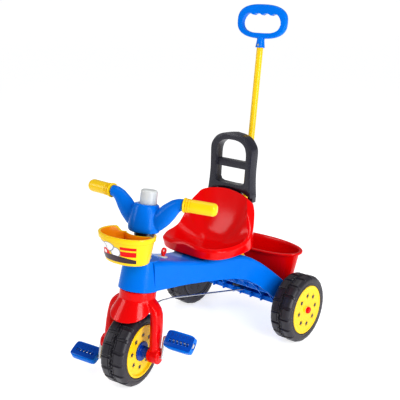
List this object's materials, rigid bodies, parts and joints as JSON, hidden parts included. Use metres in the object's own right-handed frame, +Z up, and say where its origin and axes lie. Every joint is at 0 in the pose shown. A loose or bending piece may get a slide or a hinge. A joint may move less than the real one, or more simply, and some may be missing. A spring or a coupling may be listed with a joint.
{
  "type": "children's tricycle",
  "caption": "Child's ride-on tricycle with bucket seat, backrest, front basket, rear tub and a parent push rod that steers the front wheel.",
  "frame": {"origin": "on the floor, under the middle of the whole tricycle's bounding box", "axes": "+Z up, front wheel towards -Y, the rider's left towards +X"},
  "size_m": [0.4764, 0.711, 0.9152],
  "materials": {
    "red_plastic": "gloss",
    "blue_plastic": "gloss",
    "dark_blue_plastic": "gloss",
    "yellow_plastic": "gloss",
    "black_plastic": "satin",
    "tyre_plastic": "satin",
    "white_plastic": "gloss",
    "yellow_tube": "gloss",
    "steel": "satin"
  },
  "bodies": {
    "frame": {"frame": "blue_plastic", "steering_bushes": "white_plastic", "rear_axle": "steel", "axle_caps": "red_plastic", "axle_washers": "steel", "seat": "red_plastic", "seat_screws": "steel", "backrest": "black_plastic", "backrest_screws": "steel", "rear_tub": "red_plastic", "tub_screws": "steel", "rod_bushes": "white_plastic", "key_plate": "white_plastic"},
    "steering": {"fork": "red_plastic", "handlebar": "blue_plastic", "stem_collar": "black_plastic", "stem_bolt": "steel", "grip_left": "yellow_plastic", "grip_right": "yellow_plastic", "horn_bellows": "black_plastic", "basket": "yellow_plastic", "basket_bracket": "black_plastic", "basket_screws": "steel", "crank_bushes": "red_plastic"},
    "horn": {"horn_button": "white_plastic"},
    "front_wheel": {"front_tyre": "tyre_plastic", "front_disc_left": "yellow_plastic", "front_disc_right": "yellow_plastic", "front_hub_left": "dark_blue_plastic", "front_hub_right": "dark_blue_plastic", "crank": "steel", "push_nuts": "steel"},
    "pedal_left": {"pedal_left": "blue_plastic"},
    "pedal_right": {"pedal_right": "blue_plastic"},
    "rear_wheel_left": {"rear_tyre_left": "tyre_plastic", "rear_disc_left_outer": "yellow_plastic", "rear_disc_left_inner": "black_plastic", "rear_sleeve_left": "white_plastic"},
    "rear_wheel_right": {"rear_tyre_right": "tyre_plastic", "rear_disc_right_outer": "yellow_plastic", "rear_disc_right_inner": "black_plastic", "rear_sleeve_right": "white_plastic"},
    "push_rod": {"push_rod": "yellow_tube", "push_handle": "blue_plastic", "handle_screw": "steel", "rod_arm": "black_plastic", "rod_pin": "steel"},
    "link": {"steering_link": "steel", "link_clips": "steel"},
    "key": {"toy_key": "red_plastic"}
  },
  "joints": [
    {"name": "steering", "type": "hinge", "parent": "frame", "child": "steering", "pos_m": [0, -0.26, 0.09275], "axis": [0, 0.1908, 0.9816], "range_deg": [-45.5, 24.5]},
    {"name": "push_rod_turn", "type": "hinge", "parent": "frame", "child": "push_rod", "pos_m": [0, 0.2006, 0.25], "axis": [0, 0.1314, 0.9913], "range_deg": [-45.5, 24.5]},
    {"name": "link_swing", "type": "hinge", "parent": "steering", "child": "link", "pos_m": [0.02494, -0.20856, 0.1999], "axis": [0, 0.1908, 0.9816], "range_deg": [-24.5, 45.5]},
    {"name": "front_wheel_spin", "type": "hinge", "parent": "steering", "child": "front_wheel", "pos_m": [0, -0.26, 0.09275], "axis": [0.9833, 0.1789, -0.0348], "continuous": true},
    {"name": "pedal_left_spin", "type": "hinge", "parent": "front_wheel", "child": "pedal_left", "pos_m": [0.13115, -0.22325, 0.13684], "axis": [0.9833, 0.1789, -0.0348], "continuous": true},
    {"name": "pedal_right_spin", "type": "hinge", "parent": "front_wheel", "child": "pedal_right", "pos_m": [-0.13115, -0.29675, 0.04866], "axis": [0.9833, 0.1789, -0.0348], "continuous": true},
    {"name": "rear_wheel_left_spin", "type": "hinge", "parent": "frame", "child": "rear_wheel_left", "pos_m": [0.1972, 0.205, 0.095], "axis": [1, 0, 0], "continuous": true},
    {"name": "rear_wheel_right_spin", "type": "hinge", "parent": "frame", "child": "rear_wheel_right", "pos_m": [-0.1972, 0.205, 0.095], "axis": [1, 0, 0], "continuous": true},
    {"name": "key_turn", "type": "hinge", "parent": "frame", "child": "key", "pos_m": [0, -0.139, 0.301], "axis": [0, 0.3074, 0.9516], "range_deg": [-45, 45]},
    {"name": "horn_press", "type": "slide", "parent": "steering", "child": "horn", "axis": [0, 0.1908, 0.9816], "range_m": [-0.004, 0], "stiffness_N_per_m": 2000, "springref_m": 0.001}
  ],
  "couplings": [
    {"joint": "push_rod_turn", "follows": "steering", "ratio": 1},
    {"joint": "link_swing", "follows": "steering", "ratio": -1}
  ]
}
